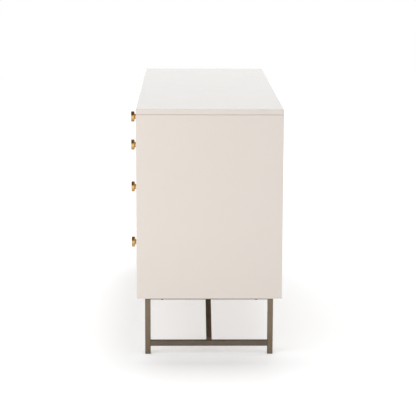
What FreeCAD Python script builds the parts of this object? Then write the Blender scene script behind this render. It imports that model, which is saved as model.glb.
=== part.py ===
"""Campaign chest: a seven-drawer lacquered case on a square-tube steel base.

Millimetres.  +Z is up, the front faces -Y and X runs along the length.
The origin is the middle of the bounding box on the floor, so the knobs
count in the depth that is centred on Y = 0.
"""
import FreeCAD, Part
import math
import os
from collections import namedtuple

VECTOR = FreeCAD.Vector
Screw = namedtuple("Screw", "head_radius head_height radius reach")

# --- case ---
CASE_LENGTH = 1524.0
CASE_DEPTH = 500.0
CASE_TOP_Z = 859.0
CASE_BOTTOM_Z = 204.0
PANEL = 18.0
PANEL_ARRIS = 1.5
SEAM_WIDTH = 0.8
SEAM_DEPTH = 4.0
BACK_PANEL_THICKNESS = 9.0
BACK_PANEL_RECESS = 3.0
BACK_REBATE = 9.0

# --- joints between the boards of the case ---
DOWEL_RADIUS = 4.0
DOWEL_IN_FACE = 12.0
DOWEL_IN_EDGE = 18.0
DOWELS_PER_JOINT = 4
DOWEL_MARGIN = 50.0
BACK_SCREW = Screw(3.5, 1.6, 1.6, 20.0)
BACK_SCREWS_ACROSS = 5
BACK_SCREWS_UP = 3

# --- knobs ---
KNOB_PROJECTION = 28.5
KNOB_RADIUS = 19.0
KNOB_RIM = 11.0
KNOB_TAPER = 3.5
KNOB_FACE_ARRIS = 1.2
POST_RADIUS = 9.5
POST_FOOT_RADIUS = 12.0
POST_FOOT_RIM = 1.0
POST_FOOT_HEIGHT = 3.0

# --- drawers: the height units of each column, from the top down ---
COLUMN_UNITS = {"left": (2, 2, 2), "right": (1, 1, 2, 2)}
REVEAL = 3.0
FRONT_THICKNESS = 18.0
BOX_BOARD = 12.0
BOX_ARRIS = 1.5
BOX_DEPTH = 430.0
BOX_LIFT = 14.0
BOX_HEADROOM = 14.0
BOX_BOTTOM_THICKNESS = 6.0
BOX_BOTTOM_LIFT = 10.0
BOX_GROOVE = 6.0
KNOB_SCREW = Screw(4.5, 2.6, 2.0, 52.0)
FRONT_SCREW = Screw(4.0, 2.2, 2.0, 24.0)
FRONT_SCREW_MARGIN = 110.0

# --- drawer slides ---
SLIDE_SPACE = 12.7
SLIDE_LENGTH = 400.0
SLIDE_SETBACK = 6.0
SLIDE_SHEET = 1.2
CHANNEL_HEIGHT = 35.0
CHANNEL_WIDTH = 10.5
RUNNER_HEIGHT = 31.0
RUNNER_WIDTH = 10.2
SLIDE_SCREW = Screw(3.5, 1.8, 1.6, 8.0)
SLIDE_SCREW_MARGIN = 45.0

# --- base ---
TUBE = 19.0
TUBE_WALL = 1.6
TUBE_CORNER = 1.6
BASE_END_INSET = 30.0
BASE_FRONT_INSET = 28.0
TOP_BAR_HEIGHT = 9.5
RAIL_BOTTOM_Z = 28.0
GLIDE_FLANGE = 2.0
GLIDE_PLUG = 12.0
BRACE_ANGLE = 25.0
BRACE_PLATE_THICKNESS = 3.0
BRACE_PLATE_LENGTH = 96.0
BRACE_PLATE_WIDTH = 38.0
BRACE_PLATE_CORNER = 5.0
PLATE_SCREW_MARGIN = 9.0
BAR_SCREW_SPACING = 326.0
BAR_SCREW = Screw(6.0, 2.6, 2.2, TOP_BAR_HEIGHT + 13.0)
PLATE_SCREW = Screw(6.0, 2.6, 2.2, BRACE_PLATE_THICKNESS + 13.0)

# --- working values ---
OVERSHOOT = 1.0
NEAR = 0.01
HOLE_CLEARANCE = 0.15

# --- derived planes ---
END_X = CASE_LENGTH / 2
INNER_X = END_X - PANEL
PARTITION_X = PANEL / 2
FRONT_Y = KNOB_PROJECTION - (CASE_DEPTH + KNOB_PROJECTION) / 2
BACK_Y = FRONT_Y + CASE_DEPTH
BACK_PANEL_BACK_Y = BACK_Y - BACK_PANEL_RECESS
BACK_PANEL_Y = BACK_PANEL_BACK_Y - BACK_PANEL_THICKNESS
MIDDLE_Y = (FRONT_Y + BACK_Y) / 2
OPENING_BOTTOM_Z = CASE_BOTTOM_Z + PANEL
OPENING_TOP_Z = CASE_TOP_Z - PANEL
HEIGHT_UNIT = (OPENING_TOP_Z - OPENING_BOTTOM_Z - REVEAL) / sum(COLUMN_UNITS["left"])
FRONT_WIDTH = INNER_X - PARTITION_X - 2 * REVEAL
BOX_WIDTH = INNER_X - PARTITION_X - 2 * SLIDE_SPACE
COLUMN_X = {"left": -(INNER_X + PARTITION_X) / 2, "right": (INNER_X + PARTITION_X) / 2}
BOX_FRONT_Y = FRONT_Y + FRONT_THICKNESS
BASE_OUTER_X = END_X - BASE_END_INSET
BASE_FRONT_Y = FRONT_Y + BASE_FRONT_INSET
BASE_BACK_Y = BACK_Y - BASE_FRONT_INSET
RAIL_TOP_Z = RAIL_BOTTOM_Z + TUBE
LEG_TOP_Z = CASE_BOTTOM_Z - TOP_BAR_HEIGHT
PLATE_BOTTOM_Z = CASE_BOTTOM_Z - BRACE_PLATE_THICKNESS


# --- shapes that more than one piece uses ---

def block(x_range, y_range, z_range):
    """Return a box between the lower and upper value of each range."""
    lows = [min(pair) for pair in (x_range, y_range, z_range)]
    sizes = [abs(pair[1] - pair[0]) for pair in (x_range, y_range, z_range)]
    return Part.makeBox(*sizes, VECTOR(*lows))


def soften(shape, radius, wanted):
    """Round the edges of shape whose midpoint and direction pass wanted."""
    chosen = []
    for edge in shape.Edges:
        start, end = edge.Vertexes[0].Point, edge.Vertexes[-1].Point
        if wanted((start + end) * 0.5, (end - start).normalize()):
            chosen.append(edge)
    return shape.makeFillet(radius, chosen)


def upright(middle, along):
    """Tell whether an edge runs along Z."""
    return abs(along.z) > 1 - NEAR


def in_front(middle):
    """Tell whether an edge lies in the front face of the case."""
    return middle.y < FRONT_Y + NEAR


def soften_rim(shape, radius, centre):
    """Round the circular edge of shape that is centred on centre."""
    rims = [edge for edge in shape.Edges
            if isinstance(edge.Curve, Part.Circle)
            and edge.Curve.Center.distanceToPoint(centre) < NEAR]
    return shape.makeFillet(radius, rims)


def rod(radius, start, axis, length):
    """Return a round rod from start along axis."""
    return Part.makeCylinder(radius, length, start, axis)


def screw(kind, place, inward):
    """Return a pan-head screw whose head sits on place and whose shank goes inward."""
    tip_of_head = place - inward * kind.head_height
    head = rod(kind.head_radius, tip_of_head, inward, kind.head_height)
    head = soften_rim(head, kind.head_height / 2, tip_of_head)
    return head.fuse(rod(kind.radius, place, inward, kind.reach))


def screw_hole(kind, place, inward):
    """Return the hole that the shank of a screw needs, past the surface on place."""
    return rod(kind.radius + HOLE_CLEARANCE, place - inward * OVERSHOOT, inward,
               kind.reach + OVERSHOOT + HOLE_CLEARANCE)


def drill(shape, placed_screws):
    """Cut the holes of (kind, place, inward) screws from shape."""
    return shape.cut(Part.makeCompound([screw_hole(*placed) for placed in placed_screws]))


def turned(profile, centre_x, centre_z):
    """Revolve (radius, distance in front of the case) points about a Y axis."""
    points = [VECTOR(centre_x + radius, FRONT_Y - out, centre_z) for radius, out in profile]
    face = Part.Face(Part.makePolygon(points + points[:1]))
    return face.revolve(VECTOR(centre_x, 0, centre_z), VECTOR(0, 1, 0), 360)


def spread(low, high, count):
    """Return count evenly spaced values from low to high."""
    return [low + (high - low) * step / (count - 1) for step in range(count)]


def export(node, *solids):
    """Write the solids of one node to its own STEP file."""
    shape = solids[0] if len(solids) == 1 else Part.makeCompound(list(solids))
    shape.exportStep(f"parts/{node}.step")


# --- case ---

def back_panel():
    """Thin board that lies in the rebate round the back of the case."""
    reach = INNER_X + BACK_REBATE
    return block((-reach, reach), (BACK_PANEL_Y, BACK_PANEL_BACK_Y),
                 (OPENING_BOTTOM_Z - BACK_REBATE, OPENING_TOP_Z + BACK_REBATE))


def back_rebate():
    """Return the pocket that the back panel lies in, open to the back."""
    reach = INNER_X + BACK_REBATE
    return block((-reach, reach), (BACK_PANEL_Y, BACK_Y + OVERSHOOT),
                 (OPENING_BOTTOM_Z - BACK_REBATE, OPENING_TOP_Z + BACK_REBATE))


def back_screws():
    """Return the screws that hold the back panel in its rebate and to the partition."""
    edge = BACK_REBATE / 2
    low, high = OPENING_BOTTOM_Z - edge, OPENING_TOP_Z + edge
    across = spread(-INNER_X - edge, INNER_X + edge, BACK_SCREWS_ACROSS)
    spots = [(x, z) for x in across for z in (low, high)]
    between = spread(low, high, BACK_SCREWS_UP + 2)[1:-1]
    spots += [(x, z) for x in (across[0], 0, across[-1]) for z in between]
    return [(BACK_SCREW, VECTOR(x, BACK_PANEL_BACK_Y, z), VECTOR(0, -1, 0)) for x, z in spots]


def case_dowels(clearance=0.0):
    """Return the hidden dowels between the boards, or their holes with some clearance."""
    rows = spread(FRONT_Y + DOWEL_MARGIN, BACK_Y - DOWEL_MARGIN, DOWELS_PER_JOINT)
    side_middle, floor_middle = INNER_X + PANEL / 2, CASE_BOTTOM_Z + PANEL / 2
    starts = []
    for y in rows:
        for x in (-side_middle, 0, side_middle):
            starts.append((VECTOR(x, y, OPENING_TOP_Z - DOWEL_IN_EDGE), VECTOR(0, 0, 1)))
        starts.append((VECTOR(0, y, OPENING_BOTTOM_Z + DOWEL_IN_EDGE), VECTOR(0, 0, -1)))
        for side in (-1, 1):
            starts.append((VECTOR(side * (INNER_X - DOWEL_IN_EDGE), y, floor_middle),
                           VECTOR(side, 0, 0)))
    return [rod(DOWEL_RADIUS + clearance, start - axis * clearance, axis,
                DOWEL_IN_FACE + DOWEL_IN_EDGE + 2 * clearance) for start, axis in starts]


def top_panel():
    """Top board that covers the side panels, with every edge eased."""
    board = block((-END_X, END_X), (FRONT_Y, BACK_Y), (OPENING_TOP_Z, CASE_TOP_Z))
    return soften(board, PANEL_ARRIS, lambda middle, along: True)


def side_panel(side):
    """End board with eased edges and a fine seam under the top; side is -1 left or +1 right."""
    board = block((side * INNER_X, side * END_X), (FRONT_Y, BACK_Y),
                  (CASE_BOTTOM_Z, OPENING_TOP_Z))
    board = soften(board, PANEL_ARRIS, lambda middle, along: abs(middle.x) > INNER_X + NEAR)
    seam = block((side * (END_X - SEAM_DEPTH), side * (END_X + OVERSHOOT)),
                 (FRONT_Y - OVERSHOOT, BACK_Y + OVERSHOOT),
                 (OPENING_TOP_Z - SEAM_WIDTH, OPENING_TOP_Z + OVERSHOOT))
    return board.cut(seam)


def bottom_panel():
    """Floor board of the case, between the end boards, with eased front edges."""
    board = block((-INNER_X, INNER_X), (FRONT_Y, BACK_Y), (CASE_BOTTOM_Z, OPENING_BOTTOM_Z))
    return soften(board, PANEL_ARRIS,
                  lambda middle, along: in_front(middle) and not upright(middle, along))


def centre_partition():
    """Upright board between the two columns of drawers, with eased front edges."""
    board = block((-PARTITION_X, PARTITION_X), (FRONT_Y, BACK_PANEL_Y),
                  (OPENING_BOTTOM_Z, OPENING_TOP_Z))
    return soften(board, PANEL_ARRIS,
                  lambda middle, along: in_front(middle) and upright(middle, along))


def make_case(base_screws, channels, channel_screws):
    """Write the fixed boards, their dowels and screws, and the slide channels."""
    fixings = back_screws()
    dowel_holes = Part.makeCompound(case_dowels(HOLE_CLEARANCE))
    boards = {"top_panel": top_panel(), "side_panel_left": side_panel(-1),
              "side_panel_right": side_panel(1), "bottom_panel": bottom_panel(),
              "centre_partition": centre_partition()}
    for node, board in boards.items():
        board = board.cut(back_rebate()).cut(dowel_holes)
        export(node, drill(board, fixings + base_screws + channel_screws))
    export("back_panel", drill(back_panel(), fixings))
    export("case_dowels", *case_dowels())
    export("back_screws", *[screw(*placed) for placed in fixings])
    export("slide_channels", *[drill(channel, channel_screws) for channel in channels])
    export("slide_screws", *[screw(*placed) for placed in channel_screws])


# --- drawers ---

def drawer_rows(units_down):
    """Return (row number, bottom, top) of each drawer front, from the top down."""
    rows = []
    top = OPENING_TOP_Z - REVEAL
    for number, units in enumerate(units_down, start=1):
        height = units * HEIGHT_UNIT - REVEAL
        rows.append((number, top - height, top))
        top -= height + REVEAL
    return rows


def drawer_front(centre_x, bottom, top):
    """Inset front board with eased face edges."""
    half = FRONT_WIDTH / 2
    board = block((centre_x - half, centre_x + half), (FRONT_Y, BOX_FRONT_Y), (bottom, top))
    return soften(board, PANEL_ARRIS, lambda middle, along: in_front(middle))


def box_bottom(centre_x, base):
    """Thin drawer floor that stands in the grooves of all four boards."""
    half = BOX_WIDTH / 2 - BOX_BOARD + BOX_GROOVE
    inset = BOX_BOARD - BOX_GROOVE
    return block((centre_x - half, centre_x + half),
                 (BOX_FRONT_Y + inset, BOX_FRONT_Y + BOX_DEPTH - inset),
                 (base + BOX_BOTTOM_LIFT, base + BOX_BOTTOM_LIFT + BOX_BOTTOM_THICKNESS))


def box_board(x_range, y_range, z_range, lengthwise):
    """Return one board of a drawer box with its two long top edges eased."""
    board = block(x_range, y_range, z_range)
    return soften(board, BOX_ARRIS, lambda middle, along:
                  middle.z > max(z_range) - NEAR and abs(along.dot(lengthwise)) > 1 - NEAR)


def box_boards(centre_x, base, crown, floor):
    """Two sides, the inner front and the back, grooved for the floor."""
    half = BOX_WIDTH / 2
    back_y = BOX_FRONT_Y + BOX_DEPTH
    inner = (centre_x - half + BOX_BOARD, centre_x + half - BOX_BOARD)
    boards = [box_board((centre_x + side * (half - BOX_BOARD), centre_x + side * half),
                        (BOX_FRONT_Y, back_y), (base, crown), VECTOR(0, 1, 0))
              for side in (-1, 1)]
    boards += [box_board(inner, (y, y + BOX_BOARD), (base, crown), VECTOR(1, 0, 0))
               for y in (BOX_FRONT_Y, back_y - BOX_BOARD)]
    return [board.cut(floor) for board in boards]


def knob(centre_x, centre_z):
    """Flat round head with a tapered back, and the turned post that it stands on."""
    taper_out = KNOB_PROJECTION - KNOB_RIM - KNOB_TAPER
    head = turned([(0, taper_out), (POST_RADIUS, taper_out), (KNOB_RADIUS, taper_out + KNOB_TAPER),
                   (KNOB_RADIUS, KNOB_PROJECTION), (0, KNOB_PROJECTION)], centre_x, centre_z)
    head = soften_rim(head, KNOB_FACE_ARRIS, VECTOR(centre_x, FRONT_Y - KNOB_PROJECTION, centre_z))
    post = turned([(0, 0), (POST_FOOT_RADIUS, 0), (POST_FOOT_RADIUS, POST_FOOT_RIM),
                   (POST_RADIUS, POST_FOOT_HEIGHT), (POST_RADIUS, taper_out), (0, taper_out)],
                  centre_x, centre_z)
    return head, post


def drawer_screws(centre_x, bottom, top, slide_z):
    """Return the placed screws of one drawer: the knob's, the front's and the runners'."""
    outward = VECTOR(0, -1, 0)
    inner_y = BOX_FRONT_Y + BOX_BOARD
    middle_z = (bottom + top) / 2
    placed = [(KNOB_SCREW, VECTOR(centre_x, inner_y, middle_z), outward)]
    half = BOX_WIDTH / 2
    for side in (-1, 1):
        x = centre_x + side * (half - FRONT_SCREW_MARGIN)
        placed.append((FRONT_SCREW, VECTOR(x, inner_y, middle_z), outward))
        for y in slide_screw_rows():
            face = VECTOR(centre_x + side * (half + SLIDE_SHEET), y, slide_z)
            placed.append((SLIDE_SCREW, face, VECTOR(-side, 0, 0)))
    return placed


def slide_screw_rows():
    """Return the Y of the screws in every channel and runner."""
    start = BOX_FRONT_Y + SLIDE_SETBACK
    return (start + SLIDE_SCREW_MARGIN, start + SLIDE_LENGTH - SLIDE_SCREW_MARGIN)


def channel_section(wall_x, towards, width, height, centre_z):
    """Return a C-section slide whose web stands on wall_x and opens towards +1 or -1."""
    start = BOX_FRONT_Y + SLIDE_SETBACK
    outer = block((wall_x, wall_x + towards * width), (start, start + SLIDE_LENGTH),
                  (centre_z - height / 2, centre_z + height / 2))
    hollow = block((wall_x + towards * SLIDE_SHEET, wall_x + towards * (width + OVERSHOOT)),
                   (start - OVERSHOOT, start + SLIDE_LENGTH + OVERSHOOT),
                   (centre_z - height / 2 + SLIDE_SHEET, centre_z + height / 2 - SLIDE_SHEET))
    return outer.cut(hollow)


def slide_pair(centre_x, centre_z):
    """Return the two fixed channels of one drawer, their screws, and its two runners."""
    channels, channel_screws, runners = [], [], []
    for side in (-1, 1):
        wall = centre_x + side * (BOX_WIDTH / 2 + SLIDE_SPACE)
        channels.append(channel_section(wall, -side, CHANNEL_WIDTH, CHANNEL_HEIGHT, centre_z))
        runners.append(channel_section(centre_x + side * BOX_WIDTH / 2, side,
                                       RUNNER_WIDTH, RUNNER_HEIGHT, centre_z))
        for y in slide_screw_rows():
            face = VECTOR(wall - side * SLIDE_SHEET, y, centre_z)
            channel_screws.append((SLIDE_SCREW, face, VECTOR(side, 0, 0)))
    return channels, channel_screws, runners


def make_drawer(name, centre_x, bottom, top):
    """Write the five nodes of one drawer and return its channels and their screws."""
    base, crown = bottom + BOX_LIFT, top - BOX_HEADROOM
    slide_z = (base + crown) / 2
    floor = box_bottom(centre_x, base)
    channels, channel_screws, runners = slide_pair(centre_x, slide_z)
    fixings = drawer_screws(centre_x, bottom, top, slide_z)
    export(f"{name}_front", drill(drawer_front(centre_x, bottom, top), fixings))
    export(f"{name}_box", *[drill(board, fixings)
                            for board in box_boards(centre_x, base, crown, floor)])
    export(f"{name}_bottom", floor)
    export(f"{name}_knob", *[drill(piece, fixings[:1])
                             for piece in knob(centre_x, (bottom + top) / 2)])
    export(f"{name}_runners_and_screws", *[drill(runner, fixings) for runner in runners],
           *[screw(*placed) for placed in fixings])
    return channels, channel_screws


def make_drawers():
    """Write every drawer and return the fixed slide channels and their screws."""
    all_channels, all_screws = [], []
    for column, centre_x in COLUMN_X.items():
        for number, bottom, top in drawer_rows(COLUMN_UNITS[column]):
            channels, screws = make_drawer(f"drawer_{column}_{number}", centre_x, bottom, top)
            all_channels += channels
            all_screws += screws
    return all_channels, all_screws


# --- base ---

def tube_outside(length):
    """Return the filled outside of a square tube along +Z from the origin corner."""
    return soften(Part.makeBox(TUBE, TUBE, length), TUBE_CORNER, upright)


def tube_bore(length):
    """Return the hollow of a square tube along +Z, past both of its ends."""
    return Part.makeBox(TUBE - 2 * TUBE_WALL, TUBE - 2 * TUBE_WALL, length + 2 * OVERSHOOT,
                        VECTOR(TUBE_WALL, TUBE_WALL, -OVERSHOOT))


def square_tube(length):
    """Return an open square tube along +Z from the origin corner."""
    return tube_outside(length).cut(tube_bore(length))


def frame_x(side):
    """Return the lower X of the end frame on side -1 (left) or +1 (right)."""
    return BASE_OUTER_X - TUBE if side > 0 else -BASE_OUTER_X


def leg(side, corner_y):
    """Upright tube from its glide to the top bar."""
    tube = square_tube(LEG_TOP_Z - GLIDE_FLANGE)
    tube.translate(VECTOR(frame_x(side), corner_y, GLIDE_FLANGE))
    return tube


def glide(side, corner_y):
    """Plastic foot: a flange on the floor and a plug inside the tube."""
    low_x = frame_x(side)
    flange = block((low_x, low_x + TUBE), (corner_y, corner_y + TUBE), (0, GLIDE_FLANGE))
    flange = soften(flange, TUBE_CORNER, upright)
    plug = block((low_x + TUBE_WALL, low_x + TUBE - TUBE_WALL),
                 (corner_y + TUBE_WALL, corner_y + TUBE - TUBE_WALL),
                 (GLIDE_FLANGE, GLIDE_FLANGE + GLIDE_PLUG))
    return flange.fuse(plug).removeSplitter()


def cross_rail(side):
    """Low tube between the front and back leg of one end frame."""
    tube = square_tube(BASE_BACK_Y - BASE_FRONT_Y - 2 * TUBE)
    tube.rotate(VECTOR(0, 0, 0), VECTOR(1, 0, 0), -90)
    tube.translate(VECTOR(frame_x(side), BASE_FRONT_Y + TUBE, RAIL_TOP_Z))
    return tube


def top_bar(side):
    """Flat bar that lies under the case on both legs of one end frame."""
    low_x = frame_x(side)
    bar = block((low_x, low_x + TUBE), (BASE_FRONT_Y, BASE_BACK_Y), (LEG_TOP_Z, CASE_BOTTOM_Z))
    return soften(bar, TUBE_CORNER, upright)


def brace_foot_x(side):
    """Return the X of the inner edge of the cross rail, where the brace leaves it."""
    return side * (BASE_OUTER_X - TUBE)


def brace_plate_x(side):
    """Return the X of the middle of the brace's plate."""
    slope = math.radians(BRACE_ANGLE)
    cut_length = TUBE / math.sin(slope)
    return brace_foot_x(side) - side * ((PLATE_BOTTOM_Z - RAIL_TOP_Z) / math.tan(slope)
                                        - cut_length / 2)


def brace_window(side, outer_x):
    """Return the space between the cross rail and the plate, out to outer_x."""
    return block((0, side * outer_x), (MIDDLE_Y - TUBE, MIDDLE_Y + TUBE),
                 (RAIL_TOP_Z, PLATE_BOTTOM_Z))


def brace_slope(side, shape, length):
    """Tilt a shape that stands along Z into the line of the brace."""
    shape.translate(VECTOR(0, MIDDLE_Y - TUBE / 2, -length / 4))
    shape.rotate(VECTOR(0, 0, 0), VECTOR(0, 1, 0), BRACE_ANGLE - 90)
    if side < 0:
        shape = shape.mirror(VECTOR(0, 0, 0), VECTOR(1, 0, 0))
    shape.translate(VECTOR(brace_foot_x(side), 0, RAIL_TOP_Z))
    return shape


def brace(side):
    """Tube with a closed foot that rises inward from the cross rail to its plate."""
    length = 2 * (CASE_BOTTOM_Z - RAIL_TOP_Z) / math.sin(math.radians(BRACE_ANGLE))
    outside = brace_slope(side, tube_outside(length), length)
    bore = brace_slope(side, tube_bore(length), length)
    hollow = bore.common(brace_window(side, BASE_OUTER_X - TUBE_WALL))
    return outside.common(brace_window(side, BASE_OUTER_X)).cut(hollow)


def brace_plate(side):
    """Flat plate that holds the top of the brace to the underside of the case."""
    middle_x = brace_plate_x(side)
    half_length, half_width = BRACE_PLATE_LENGTH / 2, BRACE_PLATE_WIDTH / 2
    plate = block((middle_x - half_length, middle_x + half_length),
                  (MIDDLE_Y - half_width, MIDDLE_Y + half_width),
                  (PLATE_BOTTOM_Z, CASE_BOTTOM_Z))
    return soften(plate, BRACE_PLATE_CORNER, upright)


def end_frame_screws(side):
    """Return the placed screws of one top bar and one brace plate."""
    up = VECTOR(0, 0, 1)
    bar_x = frame_x(side) + TUBE / 2
    plate_reach = BRACE_PLATE_LENGTH / 2 - PLATE_SCREW_MARGIN
    placed = []
    for step in (-1, 1):
        bar_y = MIDDLE_Y + step * BAR_SCREW_SPACING / 2
        placed.append((BAR_SCREW, VECTOR(bar_x, bar_y, LEG_TOP_Z), up))
        plate_x = brace_plate_x(side) + step * plate_reach
        placed.append((PLATE_SCREW, VECTOR(plate_x, MIDDLE_Y, PLATE_BOTTOM_Z), up))
    return placed


def make_base():
    """Write the base nodes and return the placed screws that hold it to the case."""
    glides, all_screws = [], []
    for side, side_name in ((-1, "left"), (1, "right")):
        for corner_y, depth_name in ((BASE_FRONT_Y, "front"), (BASE_BACK_Y - TUBE, "back")):
            export(f"leg_{depth_name}_{side_name}", leg(side, corner_y))
            glides.append(glide(side, corner_y))
        screws = end_frame_screws(side)
        export(f"top_bar_{side_name}", drill(top_bar(side), screws))
        export(f"cross_rail_{side_name}", cross_rail(side))
        export(f"brace_{side_name}", brace(side), drill(brace_plate(side), screws))
        all_screws += screws
    export("foot_glides", *glides)
    export("base_screws", *[screw(*placed) for placed in all_screws])
    return all_screws


os.makedirs("parts", exist_ok=True)
make_case(make_base(), *make_drawers())
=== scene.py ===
"""Campaign chest: finishes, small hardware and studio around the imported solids.

The solids bring the case, the drawers and the base.  This file turns the
brass knobs, bends the drawer slides, cuts the crosses of the screws, lays
the weld beads, joins the corners of the drawer boxes, and gives every
surface its finish.  All lengths are in metres, with +Z up and the drawer
fronts facing -Y.
"""
import logging
import math
from dataclasses import dataclass
from enum import Enum
from typing import Callable, Iterable, Sequence

import bmesh
import bpy
from mathutils import Matrix, Vector


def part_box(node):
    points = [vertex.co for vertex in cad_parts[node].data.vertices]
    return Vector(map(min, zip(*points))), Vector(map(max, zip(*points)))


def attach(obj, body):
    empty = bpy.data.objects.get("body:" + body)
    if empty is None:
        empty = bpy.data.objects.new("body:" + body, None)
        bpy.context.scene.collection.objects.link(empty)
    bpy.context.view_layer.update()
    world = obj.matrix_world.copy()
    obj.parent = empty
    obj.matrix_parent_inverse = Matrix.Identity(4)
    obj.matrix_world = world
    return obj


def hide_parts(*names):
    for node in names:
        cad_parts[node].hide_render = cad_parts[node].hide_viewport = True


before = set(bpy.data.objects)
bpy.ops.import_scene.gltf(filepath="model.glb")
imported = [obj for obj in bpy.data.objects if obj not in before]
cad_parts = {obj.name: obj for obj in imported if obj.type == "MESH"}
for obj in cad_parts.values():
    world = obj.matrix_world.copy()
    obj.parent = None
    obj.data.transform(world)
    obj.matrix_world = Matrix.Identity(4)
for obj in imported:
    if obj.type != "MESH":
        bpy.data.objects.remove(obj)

LOG = logging.getLogger("campaign_chest")
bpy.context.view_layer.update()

Colour = tuple[float, float, float]
Point = tuple[float, float, float]
PlanePoint = tuple[float, float]
Span = tuple[float, float]
Socket = bpy.types.NodeSocket
Value = Socket | float | tuple[float, ...]
Tree = bpy.types.NodeTree
Shape = bmesh.types.BMesh
Ring = list[bmesh.types.BMVert]


def corners_of(node: str) -> tuple[Vector, Vector]:
    """Return the lowest and the highest corner of a CAD node's box."""
    low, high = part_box(node)
    return Vector(low), Vector(high)


MM = 0.001
WHITE = (1.0, 1.0, 1.0, 1.0)
NOISE_SPAN: Span = (0.3, 0.7)
ROOT_BODY = "case_and_base"
BRACE_ANGLE = math.radians(25)
BOX_LOW, BOX_HIGH = corners_of("drawer_right_1_box")
COLUMN_CENTRE = (BOX_LOW.x + BOX_HIGH.x) / 2
BOX_BOARD = 12.0 * MM
BOX_INNER_HALF = (BOX_HIGH.x - BOX_LOW.x) / 2 - BOX_BOARD


class Axis(Enum):
    """The three directions of the chest, as unit vectors."""

    LENGTH = (1.0, 0.0, 0.0)
    DEPTH = (0.0, 1.0, 0.0)
    HEIGHT = (0.0, 0.0, 1.0)

    @property
    def vector(self) -> Vector:
        """Return the direction as a vector."""
        return Vector(self.value)

    @property
    def letter(self) -> str:
        """Return the direction's letter in the frame."""
        return "XYZ"[self.value.index(1.0)]


class Column(Enum):
    """The two columns of drawers, with the number of drawers in each."""

    LEFT = 3
    RIGHT = 4

    @property
    def drawers(self) -> list[str]:
        """Return the names of the column's drawers, from the top down."""
        return [f"drawer_{self.name.lower()}_{number}" for number in range(1, self.value + 1)]


class End(Enum):
    """The two ends of the chest, with the way along X that leads out of it."""

    LEFT = -1.0
    RIGHT = 1.0

    @property
    def word(self) -> str:
        """Return the end's word in the names of its pieces."""
        return self.name.lower()


# ---------------------------------------------------------------------------
# Shader building
# ---------------------------------------------------------------------------

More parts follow.
